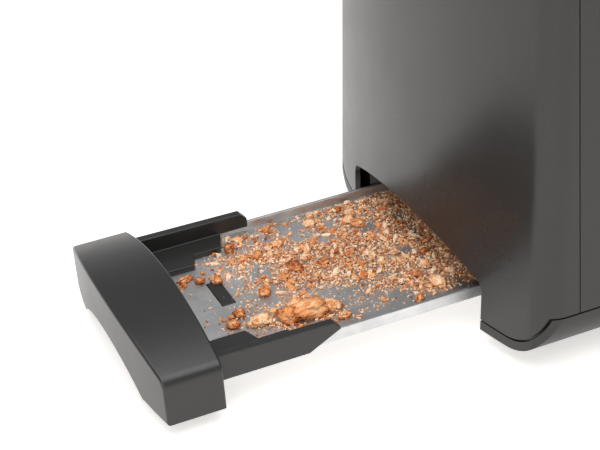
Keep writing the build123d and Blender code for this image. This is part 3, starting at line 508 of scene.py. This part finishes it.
# %% Building and running a tree
def new_tree(name, inputs):
    """An empty geometry tree with named number inputs; gives it with its input sockets."""
    tree = bpy.data.node_groups.new(name, "GeometryNodeTree")
    tree.interface.new_socket("Geometry", in_out="INPUT", socket_type="NodeSocketGeometry")
    for label in inputs:
        tree.interface.new_socket(label, in_out="INPUT", socket_type="NodeSocketFloat")
    tree.interface.new_socket("Geometry", in_out="OUTPUT", socket_type="NodeSocketGeometry")
    return tree, add_node(tree, "NodeGroupInput").outputs


def close_tree(tree, geometry, material):
    """End a tree: instances become real mesh, and the finish is set."""
    real = add_node(tree, "GeometryNodeRealizeInstances", inputs={0: geometry})
    dressed = add_node(
        tree, "GeometryNodeSetMaterial", inputs={"Geometry": real.outputs[0], "Material": material}
    )
    add_node(tree, "NodeGroupOutput", inputs={0: dressed.outputs[0]})


def run_tree(tree, values, base=None):
    """The plain mesh that a tree gives for these values, in metres."""
    mesh = base or bpy.data.meshes.new(tree.name + "_base")
    piece = bpy.data.objects.new(tree.name + "_draft", mesh)
    scene.collection.objects.link(piece)
    modifier = piece.modifiers.new(tree.name, "NODES")
    modifier.node_group = tree
    for item in tree.interface.items_tree:
        if item.in_out == "INPUT" and item.name in values:
            modifier[item.identifier] = float(values[item.name])
    finished = plain_mesh(piece)
    bpy.data.objects.remove(piece)
    return finished


def sums(tree, operation, first, second):
    """One sum on two numbers or sockets."""
    return add_node(tree, "ShaderNodeMath", {"operation": operation}, {0: first, 1: second}).outputs[0]


def vector(tree, x=0.0, y=0.0, z=0.0):
    """Three numbers or sockets joined to a vector."""
    return add_node(tree, "ShaderNodeCombineXYZ", inputs={0: x, 1: y, 2: z}).outputs[0]


def chance(tree, low, high, seed):
    """A random number between low and high, the same on every run."""
    node = add_node(tree, "FunctionNodeRandomValue", {"data_type": "FLOAT"}, {2: low, 3: high, 8: seed})
    return node.outputs[1]


def tube(tree, curve, radius, sides=12):
    """A round wire of this radius along a curve, with closed ends."""
    ring = add_node(
        tree, "GeometryNodeCurvePrimitiveCircle", inputs={"Resolution": sides, "Radius": radius}
    )
    wire = add_node(
        tree,
        "GeometryNodeCurveToMesh",
        inputs={"Curve": curve, "Profile Curve": ring.outputs[0], "Fill Caps": True},
    )
    return add_node(tree, "GeometryNodeSetShadeSmooth", inputs={0: wire.outputs[0]}).outputs[0]


# %% [markdown]
# ## Wire guards
# Each slot has two guards that lean in and centre the bread as the lever goes down.  A
# real guard is straight plated wires, spot-welded where they cross: one long wire that is
# also its hinge, two more above it, and upright bars.  The wires are straight and evenly
# spaced, so a tree lays one bar, repeats it along the hinge, and makes all four guards
# from four places.

# %% Guard tree
guard_bars = 9
bar_slimness = 0.9  # a bar's wire against the long wires
guard_tree, guard_in = new_tree(
    "wire_guard", ["Place", "Left", "Length", "Low", "High", "Bar reach", "Wire"]
)


def straight(tree, start, end):
    """A straight line between two vectors."""
    line = add_node(tree, "GeometryNodeCurvePrimitiveLine", inputs={"Start": start, "End": end})
    return line.outputs[0]


def build_guard_tree():
    """Long wires along X at three heights, and upright bars between the outer two."""
    tree = guard_tree
    place, left, length, low, high, reach, wire = (guard_in[n] for n in range(1, 8))
    right = sums(tree, "ADD", left, length)
    middle_x = sums(tree, "MULTIPLY", sums(tree, "ADD", left, right), 0.5)
    hinge = straight(tree, vector(tree, left, place, low), vector(tree, right, place, low))
    parts = [tube(tree, hinge, wire)]
    bar_left = sums(tree, "SUBTRACT", middle_x, reach)
    bar_right = sums(tree, "ADD", middle_x, reach)
    middle_z = sums(tree, "MULTIPLY", sums(tree, "ADD", low, high), 0.5)
    for level in (middle_z, high):
        rail = straight(tree, vector(tree, bar_left, place, level), vector(tree, bar_right, place, level))
        parts.append(tube(tree, rail, wire))
    upright = straight(tree, vector(tree, 0.0, 0.0, low), vector(tree, 0.0, 0.0, high))
    slim = sums(tree, "MULTIPLY", wire, bar_slimness)
    row = add_node(
        tree,
        "GeometryNodeMeshLine",
        {"mode": "END_POINTS"},
        {
            "Count": guard_bars,
            "Start Location": vector(tree, bar_left, place, 0.0),
            "Offset": vector(tree, bar_right, place, 0.0),
        },
    )
    repeated = add_node(
        tree,
        "GeometryNodeInstanceOnPoints",
        inputs={"Points": row.outputs[0], "Instance": tube(tree, upright, slim)},
    )
    joined = add_node(tree, "GeometryNodeJoinGeometry")
    for part in [repeated.outputs[0]] + parts:
        tree.links.new(part, joined.inputs[0])
    close_tree(tree, joined.outputs[0], finishes["bright_plated_wire"])


build_guard_tree()

# %% Four guards from one tree
guard_wire = 1.0 * MM  # its radius
bar_reach = 68.0 * MM
for node in [name for name in nodes if name.startswith("bread_guard")]:
    low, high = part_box(node)
    mesh = run_tree(
        guard_tree,
        {
            "Place": (low[1] + high[1]) / 2,
            "Left": low[0],
            "Length": high[0] - low[0],
            "Low": low[2] + guard_wire,
            "High": high[2] - guard_wire,
            "Bar reach": bar_reach,
            "Wire": guard_wire,
        },
    )
    settle(node + "_wires", mesh, body_of[node], finish_of(node), [node])

# %% [markdown]
# ## Carriage spring
# A compression spring round the guide rod lifts the carriage.  Its end turns are closed so
# that it stands straight.  A spiral gives the turns, and three ranges along it share out
# the height: two short closed stretches and one long open one.  The spring stands on the
# base.

# %% Spring tree
spring_turns = 14
closed_share = 0.11
closed_pitch = 2.1  # in radii of the wire, so that closed turns all but touch
points_per_turn = 24
spring_tree, spring_in = new_tree(
    "coil_spring", ["Centre X", "Centre Y", "Foot", "Height", "Radius", "Wire"]
)


def build_spring_tree():
    """A spiral whose two ends are closed turns."""
    tree = spring_tree
    centre_x, centre_y, foot, height, radius, wire = (spring_in[n] for n in range(1, 7))
    flat = add_node(
        tree,
        "GeometryNodeCurveSpiral",
        inputs={
            "Resolution": points_per_turn,
            "Rotations": float(spring_turns),
            "Start Radius": radius,
            "End Radius": radius,
            "Height": 0.0,
        },
    )
    share = add_node(tree, "GeometryNodeSplineParameter").outputs["Factor"]
    closed = sums(tree, "MULTIPLY", wire, closed_pitch * closed_share * spring_turns)
    open_height = sums(tree, "SUBTRACT", height, sums(tree, "MULTIPLY", closed, 2.0))
    stretches = (
        (closed, 0.0, closed_share),
        (open_height, closed_share, 1.0 - closed_share),
        (closed, 1.0 - closed_share, 1.0),
    )
    rise = foot
    for gain, start, end in stretches:
        rise = sums(tree, "ADD", rise, spread(tree, share, 0.0, gain, start, end))
    lift = vector(tree, centre_x, centre_y, rise)
    wound = add_node(
        tree, "GeometryNodeSetPosition", inputs={"Geometry": flat.outputs[0], "Offset": lift}
    )
    close_tree(tree, tube(tree, wound.outputs[0], wire, sides=8), finishes["ground_steel"])


build_spring_tree()
low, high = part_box("carriage_spring")
spring_wire = 0.5 * MM
spring_mesh = run_tree(
    spring_tree,
    {
        "Centre X": (low[0] + high[0]) / 2,
        "Centre Y": (low[1] + high[1]) / 2,
        "Foot": low[2] + spring_wire,
        "Height": high[2] - low[2] - 2 * spring_wire,
        "Radius": (high[1] - low[1]) / 2 - spring_wire,
        "Wire": spring_wire,
    },
)
spring = settle(
    "carriage_spring_coil",
    spring_mesh,
    "housing",
    finishes["ground_steel"],
    ["carriage_spring"],
)
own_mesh(spring)

# %% [markdown]
# ## Marks round the dial
# A browning dial has a tick and a number for each setting, printed on the panel with a
# soft pad.  The marks are real ink that stands a tenth of a millimetre proud of the panel.
# Each is drawn flat first, and then every corner of it is dropped onto the bowed panel by
# a ray.

# %% Printing ink
def printed_ink():
    """Pad-printed ink: matt pale grey, a little thin in places."""
    tree, shader, place = new_finish("pad_printed_ink", "#c4c4c0", 0.55)
    blots = noise(tree, place, 0.8, detail=2.0, roughness=0.5)
    cover = spread(tree, blots, 0.0, 0.35, 0.45, 0.7)
    inks = mix(tree, cover, linear("#c4c4c0"), linear("#8d8d8a"))
    tree.links.new(inks, shader.inputs["Base Color"])


printed_ink()

# %% Dial marks
dial_settings = 6
dial_sweep = radians(270.0)
ink_height = 0.1
tick_length = 2.6
tick_width = 0.8
tick_gap = 2.2  # from the knob's edge to the tick's middle
digit_height = 4.4
digit_gap = 8.6  # from the knob's edge to the digit's middle
ray_from_x = 0.3  # in metres, outside the panel
knob_low, knob_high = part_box("browning_knob")
dial_y = (knob_low[1] + knob_high[1]) / 2 / MM
dial_z = (knob_low[2] + knob_high[2]) / 2 / MM
knob_radius = (knob_high[1] - knob_low[1]) / 2 / MM
panel_surface = BVHTree.FromPolygons(
    [v.co for v in nodes["control_end_panel"].data.vertices],
    [tuple(face.vertices) for face in nodes["control_end_panel"].data.polygons],
)


def onto_panel(y, z, height):
    """The point, in metres, that lies height mm above the panel's outer face at y and z mm."""
    start = Vector((ray_from_x, y * MM, z * MM))
    return panel_surface.ray_cast(start, Vector((-1, 0, 0)))[0] + Vector((height * MM, 0, 0))


def flat_digit(number):
    """The corners and faces of one digit, drawn flat and centred."""
    text = bpy.data.curves.new("digit", "FONT")
    text.body = str(number)
    text.align_x = text.align_y = "CENTER"
    text.size = digit_height
    text.extrude = ink_height
    text.resolution_u = 4
    drawn = bpy.data.objects.new("digit", text)
    scene.collection.objects.link(drawn)
    shape = drawn.evaluated_get(bpy.context.evaluated_depsgraph_get()).to_mesh()
    corners = [v.co.copy() for v in shape.vertices]
    faces = [tuple(face.vertices) for face in shape.polygons]
    bpy.data.objects.remove(drawn)
    return corners, faces


def flat_tick(angle):
    """The corners and faces of one tick, a thin bar that points at the dial's middle."""
    turn = Matrix.Rotation(-angle, 3, "Z")
    sides = [(-1, -1), (1, -1), (1, 1), (-1, 1)]
    corners = [
        turn @ Vector((x * tick_width / 2, y * tick_length / 2, level * ink_height))
        for level in (-1, 1)
        for x, y in sides
    ]
    return corners, [(3, 2, 1, 0), (4, 5, 6, 7), (0, 1, 5, 4), (1, 2, 6, 5), (2, 3, 7, 6), (3, 0, 4, 7)]


def dial_marks():
    """All the ticks and digits, laid on the panel round the knob."""
    corners = []
    faces = []
    for number in range(dial_settings):
        angle = dial_sweep * (number / (dial_settings - 1) - 0.5)
        marks = ((tick_gap, flat_tick(angle)), (digit_gap, flat_digit(number + 1)))
        for gap, (flat, sides) in marks:
            reach = knob_radius + gap
            first = len(corners)
            for spot in flat:
                y = dial_y + reach * sin(angle) + spot.x
                corners.append(onto_panel(y, dial_z + reach * cos(angle) + spot.y, spot.z))
            faces += [tuple(first + corner for corner in side) for side in sides]
    mesh = bpy.data.meshes.new("dial_marks")
    mesh.from_pydata(corners, [], faces)
    return mesh


settle("dial_marks", dial_marks(), "housing", finishes["pad_printed_ink"])

# %% [markdown]
# ## Crumbs in the tray
# What falls through a toaster is dry crumb: fine grit, short flakes of crust, and a few
# lumps that broke off whole.  It gathers where the slots are above, lies in drifts, and
# thins out towards the handle.  So a grid over the tray's floor carries one number, how
# thick the crumbs lie, and a tree scatters four sizes of crumb by it.

# %% Where the crumbs lie
tray_low, tray_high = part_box("crumb_tray")
tray_sheet_mm = 0.8
tray_rim_mm = 1.5
floor_z = tray_low[2] + tray_sheet_mm * MM
crumb_end = tray_low[0] + 178.0 * MM
near_side = -41.0  # no crumb lies nearer than this
near_full = -29.0  # from here on they lie full
near_full_by_arm = -22.0  # the same, where the near arm stands by the tray
arm_end = 34.0
far_thinning = 0.55  # what the crumbs lose by the far rim, near the handle
floor_share = 0.05  # what lies right by the handle
drift_length = 9.0
drift_width = 7.0
drift_slice = 3.1
bed_gap = 1.0  # between the grid and the rims
bed_start = 2.0
bare_patches = [  # from the handle, from the middle, size
    (21, 4, 13), (68, 33, 8), (77, 24, 6), (38, -8, 8),
    (62, -20, 9), (74, -30, 10), (44, 12, 6), (96, 22, 6),
]


def ramp(value, start, end):
    """A smooth step from 0 at start to 1 at end."""
    share = min(1.0, max(0.0, (value - start) / (end - start)))
    return share * share * (3.0 - 2.0 * share)


def crumb_cover(x, y):
    """How full of crumbs the tray is, x mm from its handle and y mm from its middle."""
    near_edge = ramp(y, near_side, near_full if x > arm_end else near_full_by_arm)
    far_edge = 1.0 - far_thinning * ramp(y, 26.0, 40.0) * (1.0 - ramp(x, 60.0, 95.0))
    by_handle = floor_share + (1.0 - floor_share) * ramp(x, 14.0, 50.0)
    cover = by_handle * near_edge * far_edge
    for patch_x, patch_y, size in bare_patches:
        away = ((x - patch_x) ** 2 + (y - patch_y) ** 2) ** 0.5 / size
        cover *= 0.25 + 0.75 * ramp(away, 0.6, 1.5)
    drifts = smooth_noise.noise(Vector((x / drift_length, y / drift_width, drift_slice)))
    return min(1.0, max(0.0, cover * (0.8 + drifts)))


def crumb_bed(step_mm):
    """A grid over the tray's floor that carries the cover of crumbs at each point."""
    width = (tray_high[1] - tray_low[1]) / MM - 2 * tray_rim_mm - bed_gap
    columns = int((crumb_end - tray_low[0]) / MM / step_mm)
    rows = int(width / step_mm)
    places = [
        (bed_start + column * step_mm, -width / 2 + row * width / rows)
        for column in range(columns)
        for row in range(rows + 1)
    ]
    quads = [
        (a, a + rows + 1, a + rows + 2, a + 1)
        for column in range(columns - 1)
        for a in range(column * (rows + 1), column * (rows + 1) + rows)
    ]
    mesh = bpy.data.meshes.new("crumb_bed")
    mesh.from_pydata([(tray_low[0] + x * MM, y * MM, floor_z) for x, y in places], [], quads)
    cover = mesh.attributes.new("cover", "FLOAT", "POINT")
    cover.data.foreach_set("value", [crumb_cover(x, y) for x, y in places])
    print("crumb bed:", len(quads), "cells")
    return mesh


bed = crumb_bed(step_mm=2.0)

# %% [markdown]
# ### Toasted crumb
# Bread crumb is open and matt.  How brown a crumb is depends on how close it was to the
# wires, so every crumb carries a number, toast, that runs from pale crumb to burnt crust.
# The finish turns that number into a colour, and adds a rough, slightly pitted skin.

# %% Crumb finish
toast_shades = (
    (0.0, "#f9e0c4"),
    (0.3, "#f3c69a"),
    (0.6, "#e6a065"),
    (0.86, "#c8713a"),
    (1.0, "#7c3d1a"),
)


def toasted_crumb():
    """Dry bread: pale to burnt by the toast number of each crumb, pitted and matt."""
    tree, shader, place = new_finish("toasted_crumb", "#d08a4c", 0.82)
    toast = add_node(tree, "ShaderNodeAttribute", {"attribute_name": "toast"}).outputs["Fac"]
    pits = noise(tree, place, 0.9, detail=3.0, roughness=0.65)
    browned = sums(tree, "ADD", toast, spread(tree, pits, -0.16, 0.16, 0.3, 0.7))
    shades = add_node(tree, "ShaderNodeValToRGB", inputs={0: browned})
    ramp_steps = shades.color_ramp.elements
    while len(ramp_steps) < len(toast_shades):
        ramp_steps.new(0.5)
    for element, (position, colour) in zip(ramp_steps, toast_shades):
        element.position = position
        element.color = linear(colour)
    tree.links.new(shades.outputs[0], shader.inputs["Base Color"])
    bump(tree, shader, pits, 0.25, 0.7)


toasted_crumb()

# %% [markdown]
# ### One tree for every size of crumb
# A crumb is a small ball with its skin pushed in and out by noise.  Five different ones are
# made, and each point of the scatter takes one of them at random, turns it, squashes it to
# a flake and lifts it a little where the drift is deep.  There are thousands of grains, so
# the smallest have twenty faces each; only the two larger sizes get more.

# %% Crumb tree
crumb_tree, crumb_in = new_tree(
    "crumbs", ["Apart", "Most per m2", "Smallest", "Largest", "Small share", "Pile", "Seed", "Splits"]
)
crumb_shapes = 5
raggedness = 1.25  # how far the noise pushes a crumb's skin
pale_share = 1.35  # over 1 makes more of the crumbs pale
bedded = 0.22  # how high a crumb's middle lies, as a share of its size


def crumb_shape(tree, splits, number):
    """One ragged crumb about 1 m across; instances scale it down."""
    ball = add_node(
        tree, "GeometryNodeMeshIcoSphere", inputs={"Radius": 0.5, "Subdivisions": splits}
    )
    skin = add_node(
        tree,
        "ShaderNodeTexNoise",
        {"noise_dimensions": "4D"},
        {"W": 7.3 * number, "Scale": 2.3, "Detail": 2.5},
    )
    push = add_node(
        tree,
        "ShaderNodeVectorMath",
        {"operation": "SUBTRACT"},
        {0: skin.outputs["Color"], 1: (0.5, 0.5, 0.5)},
    )
    ragged = add_node(
        tree, "ShaderNodeVectorMath", {"operation": "SCALE"}, {0: push.outputs[0], "Scale": raggedness}
    )
    shaped = add_node(
        tree,
        "GeometryNodeSetPosition",
        inputs={"Geometry": ball.outputs[0], "Offset": ragged.outputs[0]},
    )
    return shaped.outputs[0]


def build_crumb_tree():
    """Scatter crumbs by the bed's cover, each with its own size, turn and toast."""
    tree = crumb_tree
    sockets = list(crumb_in)[:9]
    bed_in, apart, most, smallest, largest, small_share, pile, seed, splits = sockets
    cover = add_node(
        tree, "GeometryNodeInputNamedAttribute", {"data_type": "FLOAT"}, {"Name": "cover"}
    ).outputs[0]
    points = add_node(
        tree,
        "GeometryNodeDistributePointsOnFaces",
        {"distribute_method": "POISSON"},
        {
            "Mesh": bed_in,
            "Distance Min": apart,
            "Density Max": most,
            "Density Factor": cover,
            "Seed": seed,
        },
    )
    draw = sums(tree, "POWER", chance(tree, 0.0, 1.0, 1), small_share)
    growth = sums(tree, "POWER", sums(tree, "DIVIDE", largest, smallest), draw)
    size = sums(tree, "MULTIPLY", smallest, growth)
    flake = vector(
        tree,
        sums(tree, "MULTIPLY", size, chance(tree, 0.75, 1.35, 2)),
        sums(tree, "MULTIPLY", size, chance(tree, 0.6, 1.0, 3)),
        sums(tree, "MULTIPLY", size, chance(tree, 0.35, 0.75, 4)),
    )
    turned = vector(
        tree, chance(tree, -0.6, 0.6, 5), chance(tree, -0.6, 0.6, 6), chance(tree, 0.0, 2 * pi, 7)
    )
    depth = sums(tree, "MULTIPLY", sums(tree, "MULTIPLY", cover, cover), chance(tree, 0.0, 1.0, 8))
    heaped = sums(tree, "MULTIPLY", depth, pile)
    rise = sums(tree, "ADD", heaped, sums(tree, "MULTIPLY", size, bedded))
    lifted = add_node(
        tree,
        "GeometryNodeSetPosition",
        inputs={"Geometry": points.outputs["Points"], "Offset": vector(tree, 0.0, 0.0, rise)},
    )
    shapes = add_node(tree, "GeometryNodeGeometryToInstance")
    for number in reversed(range(crumb_shapes)):
        tree.links.new(crumb_shape(tree, splits, number), shapes.inputs[0])
    pick = add_node(
        tree, "FunctionNodeRandomValue", {"data_type": "INT"}, {4: 0, 5: crumb_shapes - 1, 8: 9}
    ).outputs[2]
    scattered = add_node(
        tree,
        "GeometryNodeInstanceOnPoints",
        inputs={
            "Points": lifted.outputs[0],
            "Instance": shapes.outputs[0],
            "Pick Instance": True,
            "Instance Index": pick,
            "Rotation": turned,
            "Scale": flake,
        },
    )
    toast = sums(tree, "POWER", chance(tree, 0.1, 0.95, 10), pale_share)
    browned = add_node(
        tree,
        "GeometryNodeStoreNamedAttribute",
        {"data_type": "FLOAT", "domain": "INSTANCE"},
        {"Geometry": scattered.outputs[0], "Name": "toast", "Value": toast},
    )
    close_tree(tree, browned.outputs[0], finishes["toasted_crumb"])


build_crumb_tree()

# %% Four sizes of crumb
crumb_sizes = {
    "crumbs_fine": {
        "Apart": 0.55 * MM, "Most per m2": 1.1e6, "Smallest": 0.5 * MM, "Largest": 1.5 * MM,
        "Small share": 1.4, "Pile": 0.8 * MM, "Seed": 3, "Splits": 1,
    },
    "crumbs_grit": {
        "Apart": 0.55 * MM, "Most per m2": 1.1e6, "Smallest": 0.5 * MM, "Largest": 1.3 * MM,
        "Small share": 1.2, "Pile": 1.3 * MM, "Seed": 7, "Splits": 1,
    },
    "crumbs_medium": {
        "Apart": 1.3 * MM, "Most per m2": 1.7e5, "Smallest": 1.2 * MM, "Largest": 3.0 * MM,
        "Small share": 2.2, "Pile": 1.2 * MM, "Seed": 11, "Splits": 2,
    },
    "crumbs_coarse": {
        "Apart": 5.0 * MM, "Most per m2": 1.0e4, "Smallest": 2.6 * MM, "Largest": 4.8 * MM,
        "Small share": 1.8, "Pile": 0.8 * MM, "Seed": 23, "Splits": 3,
    },
}
for name, values in crumb_sizes.items():
    crumbs = run_tree(crumb_tree, values, bed.copy())
    settle(name, crumbs, "crumb_tray", finishes["toasted_crumb"])

# %% [markdown]
# ### Lumps of crust
# A few pieces are big enough to see one by one, and most of them lie near the handle and
# against the near arm.  Those are given in one list, and every one is a ball whose
# skin is pushed in and out by coarse and fine noise, flat where it lies on the tray.

# %% Lumps of crust
lumps = [  # from the handle, from the middle, length, width, height, toast
    (48, -27, 16, 9, 7.0, 0.55), (39, -26, 9, 8, 5.5, 0.72), (57, -27, 9, 6, 4.0, 0.40),
    (44, -21, 8, 6, 5.0, 0.45), (28, -23, 9, 6, 4.0, 0.35), (18, -20, 5, 4, 3.0, 0.75),
    (23, -14, 5, 4, 3.5, 0.80), (38, -4, 6, 5, 3.0, 0.60), (13, 21, 7, 3, 2.5, 0.65),
    (18, 17, 4, 3, 2.5, 0.78), (24, 14, 5, 4, 3.0, 0.60), (38, 34, 5, 4, 3.5, 0.85),
    (46, 23, 4, 4, 3.0, 0.70), (57, 28, 5, 3, 2.5, 0.50), (56, 7, 7, 4, 3.5, 0.80),
    (65, 20, 4, 3, 2.5, 0.55), (50, 3, 6, 3, 2.5, 0.60), (69, 5, 5, 3, 2.5, 0.65),
    (94, 26, 6, 4, 3.0, 0.60), (102, -32, 8, 5, 3.5, 0.30), (90, -39, 5, 3, 2.5, 0.70),
    (59, -35, 5, 3, 2.5, 0.50), (108, -9, 5, 4, 2.5, 0.97),
]
lump_turn = 2.4  # radians from one lump to the next
lump_spacing = 9.0  # how far apart two lumps look up their noise
lump_skin = 1.9  # how much noise crosses one lump
coarse_bumps = 1.6
fine_bumps = 4.5
finest_bumps = 11.0
coarse_push = 0.5
fine_push = 0.34
lump_bedding = 0.38  # how high a lump's middle lies, as a share of its height


def crust_lumps():
    """All the lumps in one mesh, with the toast number on every vertex."""
    heap = bmesh.new()
    toast = heap.verts.layers.float.new("toast")
    for number, (x, y, length, width, height, brown) in enumerate(lumps):
        ball = bmesh.ops.create_icosphere(heap, subdivisions=4, radius=0.5)["verts"]
        turn = Matrix.Rotation(lump_turn * number, 3, "Z")
        for vert in ball:
            skin = lump_skin * vert.co + Vector((lump_spacing * number, 0.0, 0.0))
            coarse = smooth_noise.noise(coarse_bumps * skin)
            fine = smooth_noise.noise(fine_bumps * skin) + 0.6 * smooth_noise.noise(finest_bumps * skin)
            vert[toast] = min(1.0, max(0.0, brown + 0.5 * coarse + 0.4 * fine))
            spot = vert.co * (1.0 + coarse_push * coarse + fine_push * fine)
            spot = turn @ Vector((spot.x * length, spot.y * width, spot.z * height))
            lift = max(0.05, spot.z + lump_bedding * height)
            vert.co = Vector((tray_low[0] / MM + x + spot.x, y + spot.y, floor_z / MM + lift)) * MM
    mesh = bpy.data.meshes.new("crust_lumps")
    heap.to_mesh(mesh)
    heap.free()
    mesh.shade_smooth()
    return mesh


settle("crust_lumps", crust_lumps(), "crumb_tray", finishes["toasted_crumb"])
